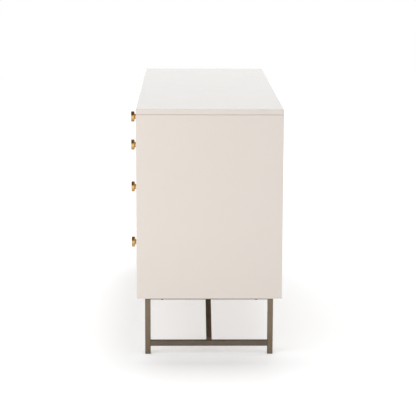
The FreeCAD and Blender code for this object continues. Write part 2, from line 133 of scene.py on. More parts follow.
class Shader:
    """A thin hand on a node tree, so that finishes read as sentences."""

    def __init__(self, tree: Tree) -> None:
        """Start to work on a tree."""
        self.tree = tree

    def node(self, kind: str, **settings: object) -> bpy.types.Node:
        """Add a node and set its plain properties.

        Args:
            kind: The node's type without the "ShaderNode" in front.
            **settings: Properties of the node, by name.

        Returns:
            The new node.
        """
        made = self.tree.nodes.new(f"ShaderNode{kind}")
        for name, value in settings.items():
            setattr(made, name, value)
        return made

    def feed(self, socket: Socket, value: Value) -> None:
        """Link a socket to a socket, or set it to a plain value.

        Args:
            socket: The input that takes the value.
            value: An output socket, a number or a tuple.
        """
        if isinstance(value, bpy.types.NodeSocket):
            self.tree.links.new(value, socket)
        else:
            socket.default_value = value

    def fit(self, node: bpy.types.Node, values: dict[str, Value]) -> None:
        """Feed several inputs of a node, each by its name."""
        for name, value in values.items():
            self.feed(node.inputs[name], value)

    def math(self, operation: str, *values: Value, clamp: bool = False) -> Socket:
        """Add a Math node.

        Args:
            operation: The node's operation.
            *values: One to three sockets or numbers.
            clamp: Whether the result is held between 0 and 1.

        Returns:
            The result socket.
        """
        made = self.node("Math", operation=operation, use_clamp=clamp)
        for socket, value in zip(made.inputs, values):
            self.feed(socket, value)
        return made.outputs[0]

    def times(self, first: Value, second: Value) -> Socket:
        """Return the product of two values."""
        return self.math("MULTIPLY", first, second)

    def weigh(self, first: Socket, weight: float, second: Socket, other_weight: float) -> Socket:
        """Return the sum of two values, each times its weight."""
        return self.math("ADD", self.times(first, weight), self.times(second, other_weight))

    def spread(self, value: Socket, low: float, high: float,
               to_low: float = 0.0, to_high: float = 1.0) -> Socket:
        """Map a range of values to another, held at both ends.

        Args:
            value: The socket to map.
            low: The value that becomes to_low.
            high: The value that becomes to_high.
            to_low: The lower result.
            to_high: The upper result.

        Returns:
            The mapped socket.
        """
        made = self.node("MapRange")
        for socket, item in zip(made.inputs, (value, low, high, to_low, to_high)):
            self.feed(socket, item)
        return made.outputs[0]

    def choose(self, mask: Socket, outside: Value, inside: Value) -> Socket:
        """Return one value where a mask is 0 and another where it is 1.

        Args:
            mask: The mask.
            outside: The value where the mask is 0.
            inside: The value where the mask is 1.

        Returns:
            The chosen value.
        """
        made = self.node("Mix", data_type="FLOAT")
        for socket, value in zip((made.inputs[0], made.inputs[2], made.inputs[3]),
                                 (mask, outside, inside)):
            self.feed(socket, value)
        return made.outputs[0]

    def blend(self, factor: Value, first: Value, second: Value,
              blend_type: str = "MIX") -> Socket:
        """Mix two colours.

        Args:
            factor: How much of the second colour shows.
            first: The first colour.
            second: The second colour.
            blend_type: The way the colours mix.

        Returns:
            The mixed colour's socket.
        """
        made = self.node("Mix", data_type="RGBA", blend_type=blend_type)
        self.feed(made.inputs[0], factor)
        self.feed(made.inputs[6], opaque(first))
        self.feed(made.inputs[7], opaque(second))
        return made.outputs[2]

    def noise(self, place: Socket, scale: Value, detail: float = 3.0,
              roughness: float = 0.5, distortion: float = 0.0) -> Socket:
        """Add a noise texture.

        Args:
            place: The position.
            scale: Lumps per metre, as a number or a socket.
            detail: Number of finer octaves.
            roughness: Strength of the finer octaves.
            distortion: How far the pattern is bent by itself.

        Returns:
            The noise value, about 0 to 1.
        """
        made = self.node("TexNoise")
        self.fit(made, {"Vector": place, "Scale": scale, "Detail": detail,
                        "Roughness": roughness, "Distortion": distortion})
        return made.outputs["Fac"]

    def object_place(self) -> Socket:
        """Return the position in the frame of the object that is shaded."""
        return self.node("TexCoord").outputs["Object"]

    def parts(self, place: Socket) -> tuple[Socket, ...]:
        """Split a position or a direction.

        Args:
            place: The position or direction.

        Returns:
            Its X, Y and Z.
        """
        made = self.node("SeparateXYZ")
        self.feed(made.inputs[0], place)
        return tuple(made.outputs)

    def stretched(self, place: Socket, factors: Value) -> Socket:
        """Scale a position along each axis.

        Args:
            place: The position.
            factors: A tuple or a socket with the scale along X, Y and Z.

        Returns:
            The scaled position.
        """
        made = self.node("VectorMath", operation="MULTIPLY")
        self.feed(made.inputs[0], place)
        self.feed(made.inputs[1], factors)
        return made.outputs[0]

    def bump(self, height: Socket, relief: float) -> Socket:
        """Turn a height into a normal.

        Args:
            height: The height, about 0 to 1.
            relief: The depth in metres that a height of 1 stands for.

        Returns:
            The bumped normal.
        """
        made = self.node("Bump")
        self.fit(made, {"Distance": relief, "Height": height})
        return made.outputs["Normal"]

    def group(self, tree: Tree, **values: Value) -> bpy.types.NodeOutputs:
        """Place a node group and feed its inputs.

        Args:
            tree: The group's tree.
            **values: Inputs by name, with underscores for spaces.

        Returns:
            The group's outputs.
        """
        made = self.node("Group")
        made.node_tree = tree
        self.fit(made, {name.replace("_", " ").capitalize(): opaque(value)
                        for name, value in values.items()})
        return made.outputs


def opaque(colour: Value) -> Value:
    """Give a colour of three numbers full alpha, and leave anything else as it is.

    Args:
        colour: A colour, or any other value or socket.

    Returns:
        The colour with its alpha, or the other value.
    """
    if isinstance(colour, tuple) and len(colour) == 3:
        return (*colour, 1.0)
    return colour


def new_group(name: str, inputs: dict[str, str],
              outputs: dict[str, str]) -> tuple[Shader, dict[str, Socket], bpy.types.Node]:
    """Start a shader node group.

    Args:
        name: The group's name.
        inputs: For each input, its socket type.
        outputs: For each output, its socket type.

    Returns:
        The shader hand on the group, its inputs by name and its output node.
    """
    tree = bpy.data.node_groups.new(name, "ShaderNodeTree")
    for labels, way in ((inputs, "INPUT"), (outputs, "OUTPUT")):
        for label, kind in labels.items():
            tree.interface.new_socket(label, in_out=way, socket_type=f"NodeSocket{kind}")
    entry = tree.nodes.new("NodeGroupInput")
    sockets = {label: entry.outputs[label] for label in inputs}
    return Shader(tree), sockets, tree.nodes.new("NodeGroupOutput")


class Effects:
    """The surface effects that several finishes share, one node group each."""

    def __init__(self) -> None:
        """Build every shared group once."""
        self.mottle = self._mottle()
        self.grain = self._grain()
        self.edge_wear = self._edge_wear()
        self.spray_skin = self._spray_skin()
        self.drawn_lines = self._drawn_lines()
        self.settled_dust = self._settled_dust()

    def _mottle(self) -> Tree:
        """Build a group that drifts a colour slightly across a surface.

        Returns:
            The group's tree.
        """
        broad_share, fine_share, fine_scale = 0.7, 0.3, 9.0
        middle = 0.5
        shader, given, out = new_group(
            "colour_drift",
            {"Colour": "Color", "Amount": "Float", "Scale": "Float"},
            {"Colour": "Color", "Value": "Float"})
        place = shader.object_place()
        broad = shader.noise(place, given["Scale"], detail=2.0)
        fine = shader.noise(place, shader.times(given["Scale"], fine_scale), detail=4.0)
        drift = shader.weigh(broad, broad_share, fine, fine_share)
        swing = shader.times(shader.math("SUBTRACT", drift, middle), given["Amount"])
        gain = shader.math("ADD", shader.times(swing, 1.0 / middle), 1.0)
        scaled = shader.node("VectorMath", operation="SCALE")
        shader.fit(scaled, {"Vector": given["Colour"], "Scale": gain})
        shader.fit(out, {"Colour": scaled.outputs[0], "Value": drift})
        return shader.tree

    def _grain(self) -> Tree:
        """Build a group of straight wood grain with pores and slow figure.

        Returns:
            The group's tree.
        """
        figure_scale, pore_scale = 7.0, 9.0
        band_edge, pit_edge = (0.32, 0.68), (0.60, 0.74)
        band_share, figure_share = 0.65, 0.35
        pore_shade, pore_depth = 0.45, 1.5
        shader, given, out = new_group(
            "wood_grain",
            {"Place": "Vector", "Light": "Color", "Dark": "Color", "Lines": "Float"},
            {"Colour": "Color", "Height": "Float", "Pores": "Float"})
        place, lines, dark = given["Place"], given["Lines"], given["Dark"]
        figure = shader.noise(place, figure_scale, detail=2.0, distortion=0.6)
        waves = shader.noise(place, lines, detail=5.0, roughness=0.62, distortion=0.35)
        bands = shader.spread(waves, *band_edge)
        pores = shader.noise(place, shader.times(lines, pore_scale), roughness=0.7)
        pits = shader.spread(pores, *pit_edge)
        tone = shader.weigh(bands, band_share, figure, figure_share)
        board = shader.blend(tone, given["Light"], dark)
        shader.fit(out, {
            "Colour": shader.blend(shader.times(pits, pore_shade), board, dark, "MULTIPLY"),
            "Height": shader.weigh(bands, 1.0, pits, -pore_depth),
            "Pores": pits,
        })
        return shader.tree

    def _edge_wear(self) -> Tree:
        """Build a group with a broken mask along the corners of a piece.

        Returns:
            The group's tree.
        """
        flat, corner = 0.995, 0.80
        patch_edge = (0.38, 0.62)
        shader, given, out = new_group(
            "edge_wear", {"Width": "Float", "Break up": "Float"}, {"Mask": "Float"})
        rounded = shader.node("Bevel", samples=6)
        shader.feed(rounded.inputs["Radius"], given["Width"])
        likeness = shader.node("VectorMath", operation="DOT_PRODUCT")
        shader.feed(likeness.inputs[0], rounded.outputs[0])
        shader.feed(likeness.inputs[1], shader.node("NewGeometry").outputs["Normal"])
        edges = shader.spread(likeness.outputs["Value"], flat, corner)
        patches = shader.noise(shader.object_place(), given["Break up"], detail=4.0)
        broken = shader.spread(patches, *patch_edge)
        shader.feed(out.inputs["Mask"], shader.math("MULTIPLY", edges, broken, clamp=True))
        return shader.tree

    def _spray_skin(self) -> Tree:
        """Build a group with the faint pebbled skin of a sprayed coat.

        Returns:
            The group's tree.
        """
        sag_scale, sag_share = 18.0, 0.8
        shader, given, out = new_group(
            "spray_skin", {"Pebbles": "Float"}, {"Height": "Float", "Value": "Float"})
        place = shader.object_place()
        pebbles = shader.noise(place, given["Pebbles"], detail=1.0)
        sag = shader.noise(place, sag_scale, detail=1.0)
        shader.fit(out, {"Height": shader.weigh(pebbles, 1.0, sag, sag_share), "Value": sag})
        return shader.tree

    def _drawn_lines(self) -> Tree:
        """Build a group with fine lines along a stretched position.

        Returns:
            The group's tree.
        """
        shader, given, out = new_group(
            "drawn_lines", {"Place": "Vector", "Lines": "Float"}, {"Height": "Float"})
        lines = shader.noise(given["Place"], given["Lines"], roughness=0.6)
        shader.feed(out.inputs["Height"], lines)
        return shader.tree

    def _settled_dust(self) -> Tree:
        """Build a group with a thin mask of dust on faces that look up.

        Returns:
            The group's tree.
        """
        steep, level = 0.55, 0.98
        cloud_scale, cloud_edge = 26.0, (0.35, 0.7)
        shader, given, out = new_group("settled_dust", {"Cover": "Float"}, {"Mask": "Float"})
        upward = shader.parts(shader.node("NewGeometry").outputs["Normal"])[2]
        lying = shader.spread(upward, steep, level)
        clouds = shader.noise(shader.object_place(), cloud_scale, detail=5.0)
        cover = shader.times(shader.spread(clouds, *cloud_edge), given["Cover"])
        shader.feed(out.inputs["Mask"], shader.math("MULTIPLY", lying, cover, clamp=True))
        return shader.tree


# ---------------------------------------------------------------------------
# Finishes
# ---------------------------------------------------------------------------

def start_material(name: str) -> tuple[bpy.types.Material, Shader, bpy.types.Node]:
    """Start a material with one Principled shader.

    Args:
        name: The material's name.

    Returns:
        The material, the shader hand on its tree and the Principled node.
    """
    material = bpy.data.materials.new(name)
    material.use_nodes = True
    material.node_tree.nodes.clear()
    shader = Shader(material.node_tree)
    principled = shader.node("BsdfPrincipled")
    output = shader.node("OutputMaterial")
    material.node_tree.links.new(principled.outputs[0], output.inputs["Surface"])
    return material, shader, principled


@dataclass(frozen=True)
class Lacquer:
    """Warm off-white satin lacquer, sprayed over board."""

    colour: Colour = (0.803, 0.731, 0.668)
    edge_colour: Colour = (0.70, 0.60, 0.51)
    roughness: Span = (0.33, 0.42)
    drift: float = 0.022
    drift_scale: float = 2.2
    pebbles: float = 360.0
    skin_relief: float = 0.035 * MM
    edge_width: float = 1.2 * MM
    edge_patches: float = 34.0
    edge_share: float = 0.30
    refraction: float = 1.47
    coat_roughness: float = 0.16
    coat_refraction: float = 1.55

    def build(self, effects: Effects) -> bpy.types.Material:
        """Return the lacquer as a material.

        Args:
            effects: The shared surface effects.

        Returns:
            The finished material.
        """
        material, shader, surface = start_material("satin_lacquer")
        drift = shader.group(effects.mottle, colour=self.colour, amount=self.drift,
                             scale=self.drift_scale)
        wear = shader.group(effects.edge_wear, width=self.edge_width, break_up=self.edge_patches)
        skin = shader.group(effects.spray_skin, pebbles=self.pebbles)
        shader.fit(surface, {
            "Base Color": shader.blend(shader.times(wear["Mask"], self.edge_share),
                                       drift["Colour"], self.edge_colour),
            "Roughness": shader.spread(skin["Value"], *NOISE_SPAN, *self.roughness),
            "Normal": shader.bump(skin["Height"], self.skin_relief),
            "IOR": self.refraction,
            "Coat Weight": 1.0,
            "Coat Roughness": self.coat_roughness,
            "Coat IOR": self.coat_refraction,
        })
        return material


@dataclass(frozen=True)
class BrushedBronze:
    """Steel tube with a bronze tone, brushed along its length and sealed."""

    name: str
    groove: Axis
    colour: Colour = (0.280, 0.221, 0.156)
    deep_colour: Colour = (0.197, 0.150, 0.100)
    rubbed_colour: Colour = (0.44, 0.335, 0.215)
    dust_colour: Colour = (0.5, 0.47, 0.42)
    roughness: Span = (0.40, 0.50)
    lines: float = 1500.0
    line_squeeze: float = 0.02
    line_relief: float = 0.012 * MM
    streak_span: Span = (0.52, 0.72)
    streak_share: float = 0.30
    patina_scale: float = 38.0
    patina_span: Span = (0.42, 0.74)
    patina_share: float = 0.35
    drift: float = 0.10
    drift_scale: float = 9.0
    edge_width: float = 1.0 * MM
    edge_patches: float = 70.0
    edge_share: float = 0.45
    dust: float = 0.08
    spread_across: float = 0.8
    slope: float = 0.0

    def build(self, effects: Effects) -> bpy.types.Material:
        """Return the brushed bronze as a material.

        The sheen is spread across the grooves, by a tangent that runs
        round the tube.

        Args:
            effects: The shared surface effects.

        Returns:
            The finished material.
        """
        material, shader, surface = start_material(self.name)
        place = shader.object_place()
        squeeze = tuple(self.line_squeeze if part else 1.0 for part in self.groove.value)
        lines = shader.group(effects.drawn_lines, lines=self.lines,
                             place=shader.stretched(self._laid_level(shader, place), squeeze))
        drift = shader.group(effects.mottle, colour=self.colour, amount=self.drift,
                             scale=self.drift_scale)
        wear = shader.group(effects.edge_wear, width=self.edge_width, break_up=self.edge_patches)
        dust = shader.group(effects.settled_dust, cover=self.dust)
        patina = shader.spread(shader.noise(place, self.patina_scale, detail=5.0),
                               *self.patina_span, 0.0, self.patina_share)
        streaks = shader.spread(lines["Height"], *self.streak_span, 0.0, self.streak_share)
        body = shader.blend(patina, drift["Colour"], self.deep_colour)
        brushed = shader.blend(streaks, body, self.rubbed_colour)
        rubbed = shader.blend(shader.times(wear["Mask"], self.edge_share), brushed,
                              self.rubbed_colour)
        round_tube = shader.node("Tangent", direction_type="RADIAL", axis=self.groove.letter)
        shader.fit(surface, {
            "Base Color": shader.blend(dust["Mask"], rubbed, self.dust_colour),
            "Roughness": shader.spread(lines["Height"], *NOISE_SPAN, *self.roughness),
            "Normal": shader.bump(lines["Height"], self.line_relief),
            "Metallic": 1.0,
            "Anisotropic": self.spread_across,
            "Tangent": round_tube.outputs[0],
        })
        return material

    def _laid_level(self, shader: Shader, place: Socket) -> Socket:
        """Turn a position so that tubes that rise towards the middle lie level.

        Args:
            shader: The shader hand on the material.
            place: The position on the chest.

        Returns:
            The turned position.
        """
        x, y, z = shader.parts(place)
        mirrored = shader.node("CombineXYZ")
        shader.fit(mirrored, {"X": shader.math("ABSOLUTE", x), "Y": y, "Z": z})
        turned = shader.node("VectorRotate", rotation_type="Y_AXIS")
        shader.fit(turned, {"Vector": mirrored.outputs[0], "Angle": self.slope})
        return turned.outputs[0]


@dataclass(frozen=True)
class TurnedBrass:
    """Solid brass with the fine rings that the lathe leaves."""

    name: str = "turned_brass"
    colour: Colour = (0.76, 0.505, 0.22)
    tarnish: Colour = (0.56, 0.355, 0.14)
    roughness: Span = (0.11, 0.17)
    rings: float = 1500.0
    ring_relief: float = 0.0035 * MM
    wobble: float = 1.2 * MM
    wobble_scale: float = 60.0
    drift: float = 0.035
    drift_scale: float = 45.0
    tarnish_scale: float = 90.0
    tarnish_span: Span = (0.55, 0.85)
    tarnish_share: float = 0.22
    spread_out: float = 0.0
    quarter_turn: float = 0.25

    def build(self, effects: Effects) -> bpy.types.Material:
        """Return the brass as a material, with rings about the piece's own Y axis.

        Where the sheen is spread out, it runs across the rings, from the
        middle of a flat face to its rim.

        Args:
            effects: The shared surface effects.

        Returns:
            The finished material.
        """
        material, shader, surface = start_material(self.name)
        place = shader.object_place()
        x, y, z = shader.parts(place)
        radius = shader.math("SQRT", shader.math("ADD", shader.times(x, x), shader.times(z, z)))
        wobble = shader.times(shader.noise(place, self.wobble_scale), self.wobble)
        travel = shader.math("ADD", shader.math("ADD", radius, y), wobble)
        rings = shader.math("SINE", shader.times(travel, self.rings * math.tau))
        drift = shader.group(effects.mottle, colour=self.colour, amount=self.drift,
                             scale=self.drift_scale)
        cloud = shader.spread(shader.noise(place, self.tarnish_scale, detail=5.0),
                              *self.tarnish_span, 0.0, self.tarnish_share)
        shader.fit(surface, {
            "Base Color": shader.blend(cloud, drift["Colour"], self.tarnish),
            "Roughness": shader.spread(drift["Value"], *NOISE_SPAN, *self.roughness),
            "Normal": shader.bump(rings, self.ring_relief),
            "Metallic": 1.0,
        })
        if self.spread_out:
            round_axis = shader.node("Tangent", direction_type="RADIAL", axis=Axis.DEPTH.letter)
            shader.fit(surface, {"Anisotropic": self.spread_out,
                                 "Anisotropic Rotation": self.quarter_turn,
                                 "Tangent": round_axis.outputs[0]})
        return material


@dataclass(frozen=True)
class SheetSteel:
    """Plated steel with drawn lines along one axis."""

    name: str = "zinc_plated_steel"
    colour: Colour = (0.60, 0.61, 0.62)
    stretch: Point = (1.0, 0.03, 1.0)
    roughness: Span = (0.28, 0.42)
    lines: float = 1400.0
    line_span: Span = (0.35, 0.65)
    line_relief: float = 0.02 * MM
    drift: float = 0.14
    drift_scale: float = 26.0

    def build(self, effects: Effects) -> bpy.types.Material:
        """Return the plated steel as a material.

        Args:
            effects: The shared surface effects.

        Returns:
            The finished material.
        """
        material, shader, surface = start_material(self.name)
        lines = shader.group(effects.drawn_lines, lines=self.lines,
                             place=shader.stretched(shader.object_place(), self.stretch))
        drift = shader.group(effects.mottle, colour=self.colour, amount=self.drift,
                             scale=self.drift_scale)
        shader.fit(surface, {
            "Base Color": drift["Colour"],
            "Roughness": shader.spread(lines["Height"], *self.line_span, *self.roughness),
            "Normal": shader.bump(lines["Height"], self.line_relief),
            "Metallic": 1.0,
        })
        return material


@dataclass(frozen=True)
class DrawerWood:
    """Clear-coated solid wood of the drawer boxes.

    The sides run front to back and the other two boards run across, so the
    grain turns just short of the inner faces of the sides.
    """

    light: Colour = (0.66, 0.475, 0.292)
    dark: Colour = (0.47, 0.315, 0.175)
    roughness: Span = (0.38, 0.62)
    short_of_side: float = 0.3 * MM
    grain_squeeze: float = 0.045
    lines: float = 120.0
    pore_relief: float = 0.06 * MM
    drift: float = 0.06
    drift_scale: float = 4.0
    edge_width: float = 1.0 * MM
    edge_patches: float = 50.0
    edge_share: float = 0.25
    coat: float = 0.12
    coat_roughness: float = 0.3

    def build(self, effects: Effects) -> bpy.types.Material:
        """Return the drawer wood as a material.

        Args:
            effects: The shared surface effects.

        Returns:
            The finished material.
        """
        material, shader, surface = start_material("drawer_wood")
        place = shader.object_place()
        from_middle = shader.math("ABSOLUTE", shader.parts(place)[0])
        from_centre = shader.math("ABSOLUTE", shader.math("SUBTRACT", from_middle, COLUMN_CENTRE))
        is_side = shader.math("GREATER_THAN", from_centre, BOX_INNER_HALF - self.short_of_side)
        ways = shader.blend(is_side, (self.grain_squeeze, 1.0, 1.0), (1.0, self.grain_squeeze, 1.0))
        grain = shader.group(effects.grain, place=shader.stretched(place, ways),
                             light=self.light, dark=self.dark, lines=self.lines)
        drift = shader.group(effects.mottle, colour=grain["Colour"], amount=self.drift,
                             scale=self.drift_scale)
        wear = shader.group(effects.edge_wear, width=self.edge_width, break_up=self.edge_patches)
        shader.fit(surface, {
            "Base Color": shader.blend(shader.times(wear["Mask"], self.edge_share),
                                       drift["Colour"], self.dark),
            "Roughness": shader.spread(grain["Pores"], 0.0, 1.0, *self.roughness),
            "Normal": shader.bump(grain["Height"], self.pore_relief),
            "Coat Weight": self.coat,
            "Coat Roughness": self.coat_roughness,
        })
        return material


@dataclass(frozen=True)
class SheetWood:
    """Thin plywood, or any other board whose grain runs one way."""

    name: str
    light: Colour
    dark: Colour
    stretch: Point
    lines: float
    roughness: Span
    pore_relief: float = 0.05 * MM
    drift: float = 0.05
    drift_scale: float = 3.0
    dust: float = 0.08
    dust_colour: Colour = (0.7, 0.66, 0.6)

    def build(self, effects: Effects) -> bpy.types.Material:
        """Return the board as a material.

        Args:
            effects: The shared surface effects.

        Returns:
            The finished material.
        """
        material, shader, surface = start_material(self.name)
        place = shader.stretched(shader.object_place(), self.stretch)
        grain = shader.group(effects.grain, place=place, light=self.light, dark=self.dark,
                             lines=self.lines)
        drift = shader.group(effects.mottle, colour=grain["Colour"], amount=self.drift,
                             scale=self.drift_scale)
        dust = shader.group(effects.settled_dust, cover=self.dust)
        shader.fit(surface, {
            "Base Color": shader.blend(dust["Mask"], drift["Colour"], self.dust_colour),
            "Roughness": shader.spread(grain["Pores"], 0.0, 1.0, *self.roughness),
            "Normal": shader.bump(grain["Height"], self.pore_relief),
        })
        return material


@dataclass(frozen=True)
class EndGrain:
    """The cut ends of boards that show in the corner joints of a drawer box."""

    light: Colour = (0.50, 0.335, 0.19)
    dark: Colour = (0.30, 0.18, 0.09)
    stretch: Point = (1.0, 1.0, 0.25)
    lines: float = 420.0
    roughness: Span = (0.5, 0.75)
    pore_relief: float = 0.08 * MM

    def build(self, effects: Effects) -> bpy.types.Material:
        """Return the end grain as a material.

        Args:
            effects: The shared surface effects.

        Returns:
            The finished material.
        """
        material, shader, surface = start_material("end_grain")
        place = shader.stretched(shader.object_place(), self.stretch)
        grain = shader.group(effects.grain, place=place, light=self.light, dark=self.dark,
                             lines=self.lines)
        shader.fit(surface, {
            "Base Color": grain["Colour"],
            "Roughness": shader.spread(grain["Pores"], 0.0, 1.0, *self.roughness),
            "Normal": shader.bump(grain["Height"], self.pore_relief),
        })
        return material


@dataclass(frozen=True)
class MouldedPlastic:
    """Black plastic with a fine moulded texture, scuffed at its corners."""

    colour: Colour = (0.022, 0.022, 0.023)
    scuffed: Colour = (0.11, 0.108, 0.10)
    roughness: Span = (0.45, 0.6)
    pebbles: float = 1500.0
    skin_relief: float = 0.06 * MM
    edge_width: float = 0.8 * MM
    edge_patches: float = 240.0

    def build(self, effects: Effects) -> bpy.types.Material:
        """Return the plastic as a material.

        Args:
            effects: The shared surface effects.

        Returns:
            The finished material.
        """
        material, shader, surface = start_material("black_plastic")
        wear = shader.group(effects.edge_wear, width=self.edge_width, break_up=self.edge_patches)
        skin = shader.group(effects.spray_skin, pebbles=self.pebbles)
        shader.fit(surface, {
            "Base Color": shader.blend(wear["Mask"], self.colour, self.scuffed),
            "Roughness": shader.spread(skin["Value"], *NOISE_SPAN, *self.roughness),
            "Normal": shader.bump(skin["Height"], self.skin_relief),
        })
        return material


class Finish(Enum):
    """Every finish on the chest, with the record's slot that it belongs to."""

    LACQUER = ("lacquered_board", Lacquer())
    BACK_BOARD = ("back_board", SheetWood(
        "sealed_back_board", light=(0.655, 0.590, 0.510), dark=(0.565, 0.497, 0.415),
        stretch=(0.03, 1.0, 1.0), lines=55.0, roughness=(0.5, 0.7)))
    DRAWER_WOOD = ("drawer_board", DrawerWood())
    DRAWER_FLOOR = ("drawer_floor", SheetWood(
        "drawer_floor_ply", light=(0.72, 0.565, 0.375), dark=(0.60, 0.450, 0.285),
        stretch=(0.03, 1.0, 1.0), lines=60.0, roughness=(0.42, 0.62)))
    DOWEL = ("dowel_wood", SheetWood(
        "beech_dowel", light=(0.62, 0.46, 0.29), dark=(0.5, 0.35, 0.2),
        stretch=(1.0, 1.0, 0.1), lines=300.0, roughness=(0.6, 0.8)))
    END_GRAIN = ("drawer_board", EndGrain())
    BRASS = ("brass", TurnedBrass())
    FACED_BRASS = ("brass", TurnedBrass(
        "faced_brass", roughness=(0.30, 0.38), ring_relief=0.006 * MM, spread_out=0.85))
    UPRIGHT_BRONZE = ("base_steel", BrushedBronze("bronze_brushed_upright", Axis.HEIGHT))
    # A darker copy of the upright bronze: painted shade for the cross rails and top bars, which sit
    # in the shade under the case.
    CROSS_BRONZE_PAINTED_SHADE = ("base_steel", BrushedBronze(
        "bronze_brushed_across", Axis.DEPTH, colour=(0.229, 0.189, 0.149),
        deep_colour=(0.161, 0.129, 0.096)))
    # A much darker copy of the same bronze: painted shade for the braces, which lie in the shade of
    # the case, and for the weld beads.
    LONG_BRONZE_PAINTED_SHADE = ("base_steel", BrushedBronze(
        "bronze_brushed_lengthwise", Axis.LENGTH, colour=(0.129, 0.093, 0.061),
        deep_colour=(0.085, 0.059, 0.038), slope=-BRACE_ANGLE))
    ZINC = ("slide_steel", SheetSteel())
    DARK_SCREW = ("screw_steel", SheetSteel(
        "dark_plated_steel", colour=(0.055, 0.050, 0.045), stretch=(1.0, 1.0, 1.0),
        roughness=(0.38, 0.52)))
    PLASTIC = ("glide_plastic", MouldedPlastic())

    @property
    def slot(self) -> str:
        """Return the name of the record's material slot."""
        return self.value[0]


class Workshop:
    """Builds each finish once and puts it on pieces."""

    def __init__(self) -> None:
        """Build the shared effects; finishes are built when first asked for."""
        self.effects = Effects()
        self._made: dict[Finish, bpy.types.Material] = {}

    def material(self, finish: Finish) -> bpy.types.Material:
        """Build the material of a finish when it is first asked for.

        Args:
            finish: The finish.

        Returns:
            Its one material.
        """
        if finish not in self._made:
            self._made[finish] = finish.value[1].build(self.effects)
        return self._made[finish]

    def dress(self, piece: bpy.types.Object, finish: Finish) -> None:
        """Give every face of a piece one finish.

        Args:
            piece: The object to dress.
            finish: The finish that it gets.
        """
        if not piece.material_slots:
            piece.data.materials.append(None)
        for place in piece.material_slots:
            place.material = self.material(finish)

    def dress_node(self, node: str, finish: Finish) -> None:
        """Dress a solid that is shown as it is, and report it."""
        self.dress(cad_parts[node], finish)
        LOG.info("%s: %s", node, finish.name.lower())

    def fit_piece(self, piece: bpy.types.Object, finish: Finish, body: str,
                  node: str | None = None) -> None:
        """Dress a new piece, join it to its body and report it.

        Args:
            piece: The new piece.
            finish: The finish that it gets.
            body: The body that it moves with.
            node: The solid that it stands for, if it stands for one.
        """
        self.dress(piece, finish)
        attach(piece, body)
        if node:
            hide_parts(node)
        LOG.info("%s: %s", piece.name, finish.name.lower())


# ---------------------------------------------------------------------------
# Mesh building
# ---------------------------------------------------------------------------

def lay_out(across: Vector, up: Vector, out: Vector, origin: Vector) -> Matrix:
    """Return the matrix that carries local X, Y and Z onto three directions.

    Args:
        across: Where local X goes.
        up: Where local Y goes.
        out: Where local Z goes.
        origin: Where the local origin goes.

    Returns:
        The 4 by 4 matrix.
    """
    matrix = Matrix((across, up, out)).transposed().to_4x4()
    matrix.translation = origin
    return matrix


def make_piece(name: str, build: Callable[[Shape], None],
               sharp_angle: float = math.radians(32)) -> bpy.types.Object:
    """Build one mesh object.

    Args:
        name: The piece's name.
        build: Fills the empty mesh that it is given.
        sharp_angle: Edges that turn by this or more stay sharp.

    Returns:
        The linked object.
    """
    mesh = bpy.data.meshes.new(name)
    shape = bmesh.new()
    build(shape)
    bmesh.ops.recalc_face_normals(shape, faces=shape.faces)
    for edge in shape.edges:
        if len(edge.link_faces) == 2:
            edge.smooth = edge.calc_face_angle() < sharp_angle
    for face in shape.faces:
        face.smooth = True
    shape.to_mesh(mesh)
    shape.free()
    piece = bpy.data.objects.new(name, mesh)
    bpy.context.scene.collection.objects.link(piece)
    return piece


def add_ring(shape: Shape, radius: float, height: float, steps: int, matrix: Matrix) -> Ring:
    """Add a ring of vertices about the local Z axis.

    Args:
        shape: The mesh that takes the vertices.
        radius: The ring's radius.
        height: Its place along local Z.
        steps: The number of vertices.
        matrix: From local to the frame.

    Returns:
        The vertices in order.
    """
    angles = [math.tau * step / steps for step in range(steps)]
    return [shape.verts.new(matrix @ Vector((radius * math.cos(angle), radius * math.sin(angle),
                                             height)))
            for angle in angles]


def join_rings(shape: Shape, first: Ring, second: Ring) -> None:
    """Add a belt of faces between two rings of the same length.

    Args:
        shape: The mesh that takes the faces.
        first: One ring.
        second: The next ring.
    """
    count = len(first)
    for step in range(count):
        after = (step + 1) % count
        shape.faces.new((first[step], first[after], second[after], second[step]))


def fill_flat(shape: Shape, loops: Iterable[Ring]) -> None:
    """Close a flat with triangles.

    Args:
        shape: The mesh that takes the faces.
        loops: The flat's rim, and the rim of every hole in it.
    """
    edges = []
    for loop in loops:
        for step, vertex in enumerate(loop):
            after = loop[(step + 1) % len(loop)]
            edges.append(shape.edges.get((vertex, after)) or shape.edges.new((vertex, after)))
    bmesh.ops.triangle_fill(shape, edges=edges, use_beauty=True)


def add_skin(shape: Shape, rings: Sequence[Ring], closed: bool = True) -> None:
    """Join rings in their order and close the first with a flat.

    Args:
        shape: The mesh that takes the faces.
        rings: The rings.
        closed: Whether a flat closes the last ring too.
    """
    for first, second in zip(rings, rings[1:]):
        join_rings(shape, first, second)
    shape.faces.new(list(reversed(rings[0])))
    if closed:
        shape.faces.new(rings[-1])


def arc(centre: PlanePoint, radius: float, start: float, end: float,
        steps: int) -> list[PlanePoint]:
    """Return points on an arc in a plane.

    Args:
        centre: The arc's centre.
        radius: Its radius.
        start: The first angle in degrees.
        end: The last angle in degrees.
        steps: The number of intervals.

    Returns:
        The points, both ends included.
    """
    angles = [math.radians(start + (end - start) * step / steps) for step in range(steps + 1)]
    return [(centre[0] + radius * math.cos(angle), centre[1] + radius * math.sin(angle))
            for angle in angles]


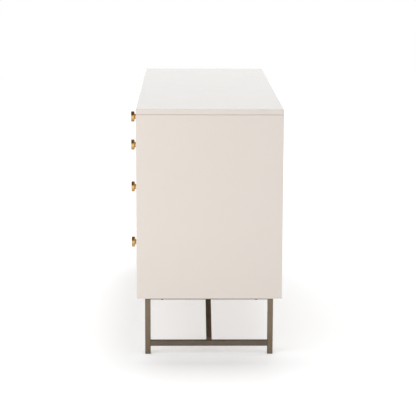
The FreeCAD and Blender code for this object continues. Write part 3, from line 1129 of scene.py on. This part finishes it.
@dataclass(frozen=True)
class CrossHeadScrew:
    """A pan-head screw with a cross recess, drawn from the face it sits on.

    The crown's rings and the cross are given as shares of the head's radius
    and height, and the tip as shares of the shank's radius.
    """

    head_radius: float
    head_height: float
    shank_radius: float
    reach: float
    steps: int = 24
    crown: tuple[PlanePoint, ...] = ((1.0, 0.0), (1.0, 0.38), (0.93, 0.68), (0.78, 0.90),
                                     (0.60, 1.0))
    tip_share: float = 0.35
    tip_length: float = 1.5
    arm_length: float = 0.44
    arm_half_width: float = 0.11
    pit_depth: float = 0.62
    pit_floor: float = 0.55

    def add(self, shape: Shape, seat: Vector, outward: Vector, turn: float) -> None:
        """Add one screw to a mesh.

        Args:
            shape: The mesh that takes the screw.
            seat: The middle of the face under its head.
            outward: From the seat to the head's crown.
            turn: How far the cross is turned, in radians.
        """
        helper = Axis.HEIGHT.vector if abs(outward.z) < 0.5 else Axis.LENGTH.vector
        across = outward.cross(helper).normalized()
        matrix = lay_out(across, outward.cross(across), outward, seat)
        matrix = matrix @ Matrix.Rotation(turn, 4, "Z")
        shank = self.shank_radius
        profile = [(self.tip_share * shank, -self.reach),
                   (shank, -self.reach + self.tip_length * shank), (shank, 0.0)]
        profile += [(width * self.head_radius, level * self.head_height)
                    for width, level in self.crown]
        rings = [add_ring(shape, radius, level, self.steps, matrix) for radius, level in profile]
        add_skin(shape, rings, closed=False)
        self._cut_cross(shape, rings[-1], matrix)

    def _cut_cross(self, shape: Shape, rim: Ring, matrix: Matrix) -> None:
        """Close the crown with a flat that has a cross-shaped pit in it.

        Args:
            shape: The mesh that takes the faces.
            rim: The crown's last ring.
            matrix: From the screw's own frame to the frame.
        """
        arm, half = self.arm_length * self.head_radius, self.arm_half_width * self.head_radius
        top = Vector((0.0, 0.0, self.head_height))
        bottom = top * (1.0 - self.pit_depth)
        outline = []
        for quarter in range(4):
            spin = Matrix.Rotation(quarter * math.pi / 2, 4, "Z")
            outline += [spin @ Vector(point) for point in
                        ((arm, -half, 0.0), (arm, half, 0.0), (half, half, 0.0))]
        mouth = [shape.verts.new(matrix @ (point + top)) for point in outline]
        floor = [shape.verts.new(matrix @ (point * self.pit_floor + bottom)) for point in outline]
        join_rings(shape, mouth, floor)
        shape.faces.new(floor)
        fill_flat(shape, (rim, mouth))


# ---------------------------------------------------------------------------
# Sub-assemblies
# ---------------------------------------------------------------------------

@dataclass
class LacqueredCase:
    """The fixed boards of the case, their dowels and the screws in the back."""

    workshop: Workshop
    boards: tuple[str, ...] = ("top_panel", "side_panel_left", "side_panel_right",
                               "centre_partition", "bottom_panel")
    back_screw: CrossHeadScrew = CrossHeadScrew(3.5 * MM, 1.6 * MM, 1.6 * MM, 20.0 * MM)

    def build(self) -> None:
        """Dress every fixed board of the case and drive the screws of its back."""
        for board in self.boards:
            self.workshop.dress_node(board, Finish.LACQUER)
        self.workshop.dress_node("back_panel", Finish.BACK_BOARD)
        self.workshop.dress_node("case_dowels", Finish.DOWEL)
        Fasteners(self.workshop, self.back_screw, Finish.ZINC).build("back_screws")


@dataclass
class Knob:
    """A flat round brass knob with a tapered back on a turned post."""

    workshop: Workshop
    radius: float = 19.0 * MM
    rim: float = 11.0 * MM
    taper: float = 3.5 * MM
    projection: float = 28.5 * MM
    post_radius: float = 9.5 * MM
    foot_radius: float = 12.0 * MM
    foot_rim: float = 1.0 * MM
    foot_arris: float = 0.25 * MM
    cove: float = 2.0 * MM
    neck_round: float = 0.8 * MM
    neck_round_drop: float = 0.35 * MM
    post_end_drop: float = 0.6 * MM
    face_arris: float = 1.2 * MM
    back_arris: float = 0.7 * MM
    back_rise: float = 0.45
    foot_ring: float = 0.2
    face_rings: Span = (0.6, 0.15)
    flat_face: float = 0.99
    steps: int = 96

    def profile(self) -> list[PlanePoint]:
        """Draw half of the knob's section, from the foot to the face.

        Returns:
            The radius and the distance from the drawer front at each point.
        """
        post, wide, face = self.post_radius, self.radius, self.projection
        back = face - self.rim
        neck = back - self.taper
        slope = math.degrees(math.atan2(self.taper, wide - post))
        points = [(self.foot_ring * self.foot_radius, 0.0), (self.foot_radius, 0.0),
                  (self.foot_radius, self.foot_rim - self.foot_arris),
                  (self.foot_radius - self.foot_arris, self.foot_rim)]
        points += arc((post + self.cove, self.foot_rim + self.cove), self.cove, -90, -180, 6)
        points += [(post, neck - self.post_end_drop)]
        points += arc((post + self.neck_round, neck - self.neck_round_drop), self.neck_round,
                      180, 90 + slope, 4)
        points += arc((wide - self.back_arris, back + self.back_rise * self.back_arris),
                      self.back_arris, slope - 90, 0, 4)
        points += [(wide, face - self.face_arris)]
        points += arc((wide - self.face_arris, face - self.face_arris), self.face_arris, 15, 90, 5)
        points += [(share * wide, face) for share in self.face_rings]
        return points

    def build(self, drawer: str) -> None:
        """Turn the knob of one drawer and put it in place of its solid.

        Args:
            drawer: The drawer's name, which is also its body.
        """
        low, high = corners_of(f"{drawer}_knob")
        across, outward = Axis.LENGTH.vector, -Axis.DEPTH.vector
        turn = lay_out(across, outward.cross(across), outward, Vector())

        def fill(shape: Shape) -> None:
            """Turn the profile about the knob's own axis."""
            add_skin(shape, [add_ring(shape, radius, height, self.steps, turn)
                             for radius, height in self.profile()])

        piece = make_piece(f"{drawer}_turned_knob", fill)
        piece.location = ((low.x + high.x) / 2, high.y, (low.z + high.z) / 2)
        self.workshop.fit_piece(piece, Finish.BRASS, drawer, f"{drawer}_knob")
        piece.data.materials.append(self.workshop.material(Finish.FACED_BRASS))
        for face in piece.data.polygons:
            face.material_index = int(face.normal.dot(outward) > self.flat_face)


@dataclass
class Drawer:
    """One drawer: its lacquered front, wooden box with joined corners, floor and knob."""

    workshop: Workshop
    name: str
    pin_spacing: float = 30.0 * MM
    pin_wide: float = 9.0 * MM
    pin_narrow: float = 5.5 * MM
    fewest_pins: int = 2
    proud: float = 0.12 * MM

    def build(self) -> None:
        """Dress the drawer's boards and add its corner joints and its knob."""
        self.workshop.dress_node(f"{self.name}_front", Finish.LACQUER)
        self.workshop.dress_node(f"{self.name}_box", Finish.DRAWER_WOOD)
        self.workshop.dress_node(f"{self.name}_bottom", Finish.DRAWER_FLOOR)
        self._join_corners()
        Knob(self.workshop).build(self.name)

    def _join_corners(self) -> None:
        """Show the dovetail pins of the inner front and the back in both sides."""
        low, high = corners_of(f"{self.name}_box")
        count = max(self.fewest_pins, round((high.z - low.z) / self.pin_spacing))
        pitch = (high.z - low.z) / count

        def fill(shape: Shape) -> None:
            """Add every pin of the drawer as a thin inlay.

            Args:
                shape: The mesh that takes the pins.
            """
            for x, outward in ((low.x, -1.0), (high.x, 1.0)):
                for end_y, inward in ((low.y, 1.0), (high.y, -1.0)):
                    for number in range(count):
                        middle = low.z + pitch * (number + 0.5)
                        self._add_pin(shape, Vector((x, end_y, middle)), outward, inward)

        piece = make_piece(f"{self.name}_dovetail_pins", fill)
        self.workshop.fit_piece(piece, Finish.END_GRAIN, self.name)

    def _add_pin(self, shape: Shape, place: Vector, outward: float, inward: float) -> None:
        """Add one pin, narrow at the board's end and wide at its shoulder.

        Args:
            shape: The mesh that takes the pin.
            place: The middle of the pin on the corner.
            outward: Which way the side's outer face looks along X.
            inward: Which way the board lies from its end along Y.
        """
        narrow, wide = self.pin_narrow / 2, self.pin_wide / 2
        depth = inward * BOX_BOARD
        outline = [(0.0, -narrow), (depth, -wide), (depth, wide), (0.0, narrow)]
        add_skin(shape, [[shape.verts.new(place + Vector((x, y, z))) for y, z in outline]
                         for x in (-outward * self.proud, outward * self.proud)])


class Solid:
    """One closed solid of a CAD node: where it lies and which way it runs."""

    near_end: float = 0.2

    def __init__(self, points: Sequence[Vector]) -> None:
        """Measure the solid.

        Args:
            points: Its corners.
        """
        self.points = points
        self.low = Vector([min(point[i] for point in points) for i in range(3)])
        self.high = Vector([max(point[i] for point in points) for i in range(3)])

    @property
    def middle(self) -> Vector:
        """Return the middle of the solid's box."""
        return (self.low + self.high) / 2

    @property
    def long_axis(self) -> int:
        """Return the index of the longest direction."""
        size = self.high - self.low
        return max(range(3), key=lambda i: size[i])

    def head_end(self) -> tuple[Vector, Vector]:
        """Find the head of a screw.

        Returns:
            The tip of the head, and the direction that it faces.
        """
        axis = self.long_axis
        length = self.high[axis] - self.low[axis]

        def girth(level: float) -> float:
            """Measure how far the solid reaches from its axis near one end.

            Args:
                level: Where the end is along the axis.

            Returns:
                The reach.
            """
            near = [point for point in self.points
                    if abs(point[axis] - level) < self.near_end * length]
            return max((abs(point[i] - self.middle[i]) for point in near
                        for i in range(3) if i != axis), default=0.0)

        at_high = girth(self.high[axis]) > girth(self.low[axis])
        tip, outward = self.middle, Vector()
        tip[axis] = self.high[axis] if at_high else self.low[axis]
        outward[axis] = 1.0 if at_high else -1.0
        return tip, outward


def solids_of(node: str, merge: float = 0.002 * MM) -> list[Solid]:
    """Split a CAD node into its separate solids.

    Args:
        node: The node's name.
        merge: Corners nearer than this are one corner.

    Returns:
        The solids, in the order in which the mesh lists them.
    """
    shape = bmesh.new()
    shape.from_mesh(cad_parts[node].data)
    bmesh.ops.remove_doubles(shape, verts=shape.verts, dist=merge)
    shape.verts.ensure_lookup_table()
    seen: set[int] = set()
    found = []
    for first in shape.verts:
        if first.index in seen:
            continue
        seen.add(first.index)
        waiting, island = [first], []
        while waiting:
            vertex = waiting.pop()
            island.append(vertex.co.copy())
            for edge in vertex.link_edges:
                other = edge.other_vert(vertex)
                if other.index not in seen:
                    seen.add(other.index)
                    waiting.append(other)
        found.append(Solid(island))
    shape.free()
    return found


@dataclass
class Fasteners:
    """Cross-headed screws in place of the plain ones of a node."""

    workshop: Workshop
    kind: CrossHeadScrew
    finish: Finish
    turn_step: float = math.radians(137.5)

    def build(self, node: str) -> None:
        """Replace every screw of a fixed node.

        Args:
            node: The node that holds nothing but screws.
        """
        screws = solids_of(node)
        piece = make_piece(f"{node}_cross_headed", lambda shape: self.add_all(shape, screws))
        self.workshop.fit_piece(piece, self.finish, ROOT_BODY, node)

    def add_all(self, shape: Shape, screws: Sequence[Solid]) -> None:
        """Add a cross-headed screw for each solid, each turned by its own angle.

        Args:
            shape: The mesh that takes the screws.
            screws: The solids that they stand for.
        """
        for number, solid in enumerate(screws):
            tip, outward = solid.head_end()
            seat = tip - outward * self.kind.head_height
            self.kind.add(shape, seat, outward, turn=self.turn_step * number)


@dataclass(frozen=True)
class SlideSection:
    """The bent C-section of a drawer slide, with eased bends and lips and punched slots."""

    sheet: float = 1.2 * MM
    bend: float = 2.4 * MM
    slot_length: float = 12.0 * MM
    slot_height: float = 4.6 * MM
    slot_places: tuple[float, ...] = (-112.0 * MM, -60.0 * MM, 60.0 * MM, 112.0 * MM)

    def add(self, shape: Shape, solid: Solid, opens: float) -> None:
        """Add one length of slide.

        Args:
            shape: The mesh that takes the slide.
            solid: The plain section that it stands for.
            opens: Which way along X the section is open, +1 or -1.
        """
        low, high = solid.low, solid.high
        width, half = high.x - low.x, (high.z - low.z) / 2
        web = low.x if opens > 0 else high.x
        outer, inner = self.bend, self.bend - self.sheet
        lip = self.sheet / 2
        upper = arc((outer, half - outer), outer, 180, 90, 5)
        upper += arc((width - lip, half - lip), lip, 90, -90, 4)
        upper += arc((outer, half - outer), inner, 90, 180, 4)
        outline = upper + [(x, -z) for x, z in reversed(upper)]
        near, far = ([shape.verts.new((web + opens * x, y, solid.middle.z + z))
                      for x, z in outline] for y in (low.y, high.y))
        faces_of_web = (len(upper) - 1, len(outline) - 1)
        middle = solid.middle
        slots = [[self._slot(shape, Vector((web + opens * depth, middle.y + place, middle.z)))
                  for place in self.slot_places] for depth in (self.sheet, 0.0)]
        for step in range(len(outline)):
            after = (step + 1) % len(outline)
            corners = (near[step], near[after], far[after], far[step])
            if step in faces_of_web:
                fill_flat(shape, (corners, *slots[faces_of_web.index(step)]))
            else:
                shape.faces.new(corners)
        for inner_rim, outer_rim in zip(*slots):
            join_rings(shape, inner_rim, outer_rim)
        for end in (near, far):
            fill_flat(shape, (end,))

    def _slot(self, shape: Shape, middle: Vector) -> Ring:
        """Add the rim of one slot that lies along Y.

        Args:
            shape: The mesh that takes the rim.
            middle: The middle of the slot.

        Returns:
            The rim's vertices in order.
        """
        reach = (self.slot_length - self.slot_height) / 2
        rim = arc((reach, 0.0), self.slot_height / 2, -90, 90, 6)
        rim += arc((-reach, 0.0), self.slot_height / 2, 90, 270, 6)
        return [shape.verts.new(middle + Vector((0.0, y, z))) for y, z in rim]


@dataclass
class Slides:
    """The fixed channels in the case, and the runners and screws of each drawer."""

    workshop: Workshop
    section: SlideSection = SlideSection()
    slide_screw: CrossHeadScrew = CrossHeadScrew(3.5 * MM, 1.8 * MM, 1.6 * MM, 8.0 * MM)
    front_screw: CrossHeadScrew = CrossHeadScrew(4.0 * MM, 2.2 * MM, 2.0 * MM, 24.0 * MM)
    knob_screw: CrossHeadScrew = CrossHeadScrew(4.5 * MM, 2.6 * MM, 2.0 * MM, 52.0 * MM)
    longer_than_screws: float = 100.0 * MM

    def build_channels(self) -> None:
        """Bend the channels that are screwed to the case."""
        def fill(shape: Shape) -> None:
            """Add every channel."""
            for solid in solids_of("slide_channels"):
                self.section.add(shape, solid, opens=-self._side(solid))

        self.workshop.fit_piece(make_piece("bent_slide_channels", fill), Finish.ZINC,
                                ROOT_BODY, "slide_channels")
        Fasteners(self.workshop, self.slide_screw, Finish.ZINC).build("slide_screws")

    def build_runners(self, drawer: str) -> None:
        """Bend the two runners of a drawer and drive its screws.

        Args:
            drawer: The drawer's name, which is also its body.
        """
        node = f"{drawer}_runners_and_screws"

        def fill(shape: Shape) -> None:
            """Add both runners and every screw.

            Args:
                shape: The mesh that takes them.
            """
            screws: dict[CrossHeadScrew, list[Solid]] = {}
            for solid in solids_of(node):
                size = solid.high - solid.low
                if size.y > self.longer_than_screws:
                    self.section.add(shape, solid, opens=self._side(solid))
                else:
                    screws.setdefault(self._kind(max(size)), []).append(solid)
            for kind, solids in screws.items():
                Fasteners(self.workshop, kind, Finish.ZINC).add_all(shape, solids)

        self.workshop.fit_piece(make_piece(f"{drawer}_bent_runners", fill), Finish.ZINC,
                                drawer, node)

    def _kind(self, length: float) -> CrossHeadScrew:
        """Return the kind of screw whose whole length is nearest to a length."""
        return min((self.slide_screw, self.front_screw, self.knob_screw),
                   key=lambda kind: abs(kind.head_height + kind.reach - length))

    def _side(self, solid: Solid) -> float:
        """Return which side of its column a solid is on, -1 or +1."""
        x = solid.middle.x
        return math.copysign(1.0, abs(x) - COLUMN_CENTRE) * math.copysign(1.0, x)


@dataclass
class SteelBase:
    """Square-tube base: dressed tubes with weld beads, screws and glides."""

    workshop: Workshop
    bead: float = 1.3 * MM
    ripple: float = 0.16
    ripple_pitch: float = 1.8 * MM
    rings_per_ripple: int = 4
    fewest_rings: int = 8
    bead_sides: int = 8
    bead_inset: float = 1.5 * MM
    bead_end_size: float = 0.35
    bead_end_growth: float = 6.0
    plate: float = 3.0 * MM
    plate_length: float = 96.0 * MM
    tube: float = 19.0 * MM
    screw: CrossHeadScrew = CrossHeadScrew(6.0 * MM, 2.6 * MM, 2.2 * MM, 15.0 * MM)
    parts: tuple[tuple[str, Finish], ...] = (
        ("leg_front", Finish.UPRIGHT_BRONZE), ("leg_back", Finish.UPRIGHT_BRONZE),
        ("top_bar", Finish.CROSS_BRONZE_PAINTED_SHADE), ("cross_rail", Finish.CROSS_BRONZE_PAINTED_SHADE),
        ("brace", Finish.LONG_BRONZE_PAINTED_SHADE))

    def build(self) -> None:
        """Dress the tubes, lay the welds between them and drive the screws."""
        for end in End:
            for part, finish in self.parts:
                self.workshop.dress_node(f"{part}_{end.word}", finish)
            self._weld(end)
        self.workshop.dress_node("foot_glides", Finish.PLASTIC)
        Fasteners(self.workshop, self.screw, Finish.DARK_SCREW).build("base_screws")

    def _weld(self, end: End) -> None:
        """Lay every weld of one end of the base.

        Args:
            end: The end.
        """
        paths = self._leg_seams(end) + self._brace_seams(end)

        def fill(shape: Shape) -> None:
            """Add every bead."""
            for path in paths:
                self._add_bead(shape, path)

        piece = make_piece(f"weld_beads_{end.word}", fill)
        # The beads take the braces' darker bronze, a painted shade.
        self.workshop.fit_piece(piece, Finish.LONG_BRONZE_PAINTED_SHADE, ROOT_BODY)

    def _leg_seams(self, end: End) -> list[list[Vector]]:
        """Find the seams between the legs, the cross rail and the top bar.

        Args:
            end: The end of the chest.

        Returns:
            The start and the finish of each seam.
        """
        low, high = corners_of(f"cross_rail_{end.word}")
        bar_z = corners_of(f"top_bar_{end.word}")[0].z
        near, far = low.x + self.bead_inset, high.x - self.bead_inset
        return [[Vector((near, y, z)), Vector((far, y, z))]
                for y in (low.y, high.y) for z in (low.z, high.z, bar_z)]

    def _brace_seams(self, end: End) -> list[list[Vector]]:
        """Find the seams of the brace on the cross rail and on its plate.

        Args:
            end: The end of the chest.

        Returns:
            The start and the finish of each seam.
        """
        rail_low, rail_high = corners_of(f"cross_rail_{end.word}")
        brace_low, brace_high = corners_of(f"brace_{end.word}")
        middle = (brace_low.y + brace_high.y) / 2
        front, back = middle - self.tube / 2, middle + self.tube / 2
        near, far = sorted((rail_low.x, rail_high.x), key=abs)
        far -= end.value * self.bead_inset
        top, plate_z = rail_high.z, brace_high.z - self.plate
        seams = [[Vector((near, y, top)), Vector((far, y, top))] for y in (front, back)]
        seams.append([Vector((near, front, top)), Vector((near, back, top))])
        centre = min(brace_low.x, brace_high.x, key=abs) + end.value * self.plate_length / 2
        reach = self.tube / math.sin(BRACE_ANGLE) / 2
        corners = [Vector((centre + x, y, plate_z)) for x, y in
                   ((-reach, front), (reach, front), (reach, back), (-reach, back))]
        return seams + [[corners[i - 1], corners[i]] for i in range(4)]

    def _add_bead(self, shape: Shape, path: Sequence[Vector]) -> None:
        """Add one rippled bead along a straight seam.

        Args:
            shape: The mesh that takes the bead.
            path: The two ends of the seam.
        """
        start, end = path
        along = (end - start).normalized()
        length = (end - start).length
        across = along.orthogonal().normalized()
        matrix = lay_out(across, along.cross(across), along, start)
        count = max(self.fewest_rings, round(length / self.ripple_pitch * self.rings_per_ripple))
        rings = []
        for step in range(count + 1):
            travel = step / count
            swell = 1.0 + self.ripple * math.sin(math.tau * travel * length / self.ripple_pitch)
            taper = min(1.0, self.bead_end_size
                        + self.bead_end_growth * min(travel, 1.0 - travel))
            rings.append(add_ring(shape, self.bead * swell * taper, travel * length,
                                  self.bead_sides, matrix))
        add_skin(shape, rings)


# ---------------------------------------------------------------------------
# Studio
# ---------------------------------------------------------------------------

@dataclass(frozen=True)
class Lamp:
    """One large soft lamp that looks at a point; gloss mirrors the room and not the lamp."""

    name: str
    place: Point
    target: Point
    size: float
    power: float
    colour: Colour

    def hang(self) -> None:
        """Add the lamp to the scene."""
        light = bpy.data.lights.new(self.name, "AREA")
        light.shape = "SQUARE"
        light.size = self.size
        light.energy = self.power
        light.color = self.colour
        lamp = bpy.data.objects.new(self.name, light)
        bpy.context.scene.collection.objects.link(lamp)
        lamp.location = self.place
        lamp.visible_glossy = False
        aim = Vector(self.target) - Vector(self.place)
        lamp.rotation_euler = aim.to_track_quat("-Z", "Y").to_euler()


@dataclass(frozen=True)
class Studio:
    """Pale floor with painted shadow near the chest, white surroundings, soft lamps and the camera.
    """

    floor_half: float = 9.0
    floor_colour: Colour = (0.90, 0.90, 0.902)
    floor_roughness: float = 0.9
    floor_shine: float = 0.1
    # The floor's lift is weaker near the chest than far from it: a painted shade around the chest.
    floor_lift: float = 0.315
    far_floor_lift: float = 0.42
    beside_reach: Span = (0.26, 0.80)
    beside_share: float = 0.5
    beyond_reach: Span = (1.30, 3.00)
    # Painted shadows: the lift is lowered on the floor past the end of the chest and in front of
    # it.
    painted_end_shadow: float = 0.19
    painted_end_shadow_reach: tuple[float, float, float] = (0.72, 0.85, 1.12)
    painted_end_shadow_sides: Span = (0.10, 0.42)
    painted_front_shadow: float = 0.08
    painted_front_shadow_reach: tuple[float, float, float] = (0.16, 0.26, 0.52)
    painted_front_shadow_ends: Span = (0.80, 1.30)
    sky_light: float = 0.75
    wall_in_metal: float = 0.97
    overhead_in_metal: float = 0.09
    wall_edge: Span = (0.40, 0.56)
    camera_place: Point = (5.8932, -0.0724, 1.4597)
    camera_turn: float = math.radians(-0.9075)
    camera_dip: float = math.radians(10.356)
    camera_roll: float = math.radians(0.1876)
    frame_pixels: int = 416
    focal_pixels: float = 1531.97
    lamps: tuple[Lamp, ...] = (
        Lamp("key_lamp", (2.8, -2.6, 1.0), (0.5, 0.0, 0.40), 2.0, 34.5, (1.0, 0.98, 0.96)),
        Lamp("far_lamp", (-2.7, 0.1, 3.2), (0.2, 0.0, 0.4), 2.2, 36.0, (0.87, 0.95, 1.0)),
    )

    def build(self) -> None:
        """Lay the floor, light the room and set up the camera."""
        self._lay_floor()
        self._light_room()
        for lamp in self.lamps:
            lamp.hang()
        self._place_camera()
        bpy.context.scene.view_settings.view_transform = "Standard"

    def _lay_floor(self) -> None:
        """Lay a wide pale floor that reads as white away from the chest, with painted shadow near
        it.
        """
        half = self.floor_half

        def fill(shape: Shape) -> None:
            """Add the one face of the floor."""
            corners = ((-half, -half), (half, -half), (half, half), (-half, half))
            shape.faces.new([shape.verts.new((x, y, 0.0)) for x, y in corners])

        floor = make_piece("pale_floor", fill)
        material, shader, surface = start_material("pale_floor")
        path = shader.node("LightPath")
        x, y, _ = shader.parts(shader.object_place())
        along, across = shader.math("ABSOLUTE", x), shader.math("ABSOLUTE", y)
        ahead = shader.times(y, -1.0)
        # The lift grows from floor_lift to far_floor_lift away from the chest, so the floor near it
        # carries painted shade.
        beside = shader.spread(across, *self.beside_reach, 0.0, self.beside_share)
        beyond = shader.spread(along, *self.beyond_reach)
        out_of_painted_shade = shader.math("MAXIMUM", beside, beyond)
        # Painted shadow past the end and in front of the chest, taken off the lift.
        painted_end_shadow_depth = self._ridge(shader, along, self.painted_end_shadow_reach,
                               shader.spread(across, *self.painted_end_shadow_sides, self.painted_end_shadow, 0.0))
        painted_front_shadow_depth = self._ridge(shader, ahead, self.painted_front_shadow_reach,
                                 shader.spread(along, *self.painted_front_shadow_ends,
                                               self.painted_front_shadow, 0.0))
        lift = shader.math("SUBTRACT",
                           shader.spread(out_of_painted_shade, 0.0, 1.0, self.floor_lift, self.far_floor_lift),
                           shader.math("MAXIMUM", painted_end_shadow_depth, painted_front_shadow_depth))
        seen = shader.times(path.outputs["Is Camera Ray"], lift)
        # In metal and glass the floor is lifted only away from the chest: a painted shade in its
        # reflections.
        mirrored = shader.times(self._mirrored(shader, path),
                                shader.times(out_of_painted_shade, self.far_floor_lift))
        shader.fit(surface, {
            "Base Color": opaque(self.floor_colour),
            "Roughness": self.floor_roughness,
            "Specular IOR Level": self.floor_shine,
            "Emission Color": WHITE,
            "Emission Strength": shader.math("ADD", seen, mirrored),
        })
        floor.data.materials.append(material)

    def _ridge(self, shader: Shader, way: Socket, reach: tuple[float, float, float],
               height: Socket) -> Socket:
        """Return a height that grows to a crest and fades again along one way.

        Args:
            shader: The floor's nodes.
            way: The distance from the middle of the floor.
            reach: Where the ridge starts, where its crest is, and where it ends.
            height: The height of the crest.

        Returns:
            The height at each point of the floor.
        """
        start, crest, end = reach
        rising = shader.times(height, shader.spread(way, start, crest))
        return shader.times(rising, shader.spread(way, crest, end, 1.0, 0.0))

    def _mirrored(self, shader: Shader, path: bpy.types.Node) -> Socket:
        """Return 1 where a surface is seen in metal or through glass, else 0."""
        return shader.math("MAXIMUM", path.outputs["Is Glossy Ray"],
                           path.outputs["Is Transmission Ray"])

    def _light_room(self) -> None:
        """Surround the chest with even light; metal sees a white wall and a dim ceiling."""
        world = bpy.data.worlds.new("studio")
        bpy.context.scene.world = world
        world.use_nodes = True
        world.node_tree.nodes.clear()
        shader = Shader(world.node_tree)
        upward = shader.parts(shader.node("TexCoord").outputs["Generated"])[2]
        wall = shader.spread(upward, *self.wall_edge, self.wall_in_metal, self.overhead_in_metal)
        path = shader.node("LightPath")
        light = shader.choose(self._mirrored(shader, path), self.sky_light, wall)
        background = shader.node("Background")
        shader.fit(background, {
            "Color": WHITE,
            "Strength": shader.choose(path.outputs["Is Camera Ray"], light, 1.0),
        })
        output = shader.node("OutputWorld")
        world.node_tree.links.new(background.outputs[0], output.inputs["Surface"])

    def _place_camera(self) -> None:
        """Set up the camera at the end of the chest."""
        turn, dip, roll = self.camera_turn, self.camera_dip, self.camera_roll
        forward = Vector((-math.cos(dip) * math.cos(turn), -math.cos(dip) * math.sin(turn),
                          -math.sin(dip)))
        right = forward.cross(Axis.HEIGHT.vector).normalized()
        up = right.cross(forward)
        rolled_right = math.cos(roll) * right + math.sin(roll) * up
        rolled_up = math.cos(roll) * up - math.sin(roll) * right
        data = bpy.data.cameras.new("end_view")
        data.lens = data.sensor_width * self.focal_pixels / self.frame_pixels
        camera = bpy.data.objects.new("end_view", data)
        bpy.context.scene.collection.objects.link(camera)
        camera.matrix_world = lay_out(rolled_right, rolled_up, -forward, Vector(self.camera_place))
        bpy.context.scene.camera = camera


def main() -> None:
    """Build the chest piece by piece, then the studio."""
    logging.basicConfig(level=logging.INFO, format="%(message)s")
    workshop = Workshop()
    LacqueredCase(workshop).build()
    slides = Slides(workshop)
    slides.build_channels()
    for column in Column:
        for drawer in column.drawers:
            Drawer(workshop, drawer).build()
            slides.build_runners(drawer)
    SteelBase(workshop).build()
    Studio().build()


if __name__ == "__main__":
    main()
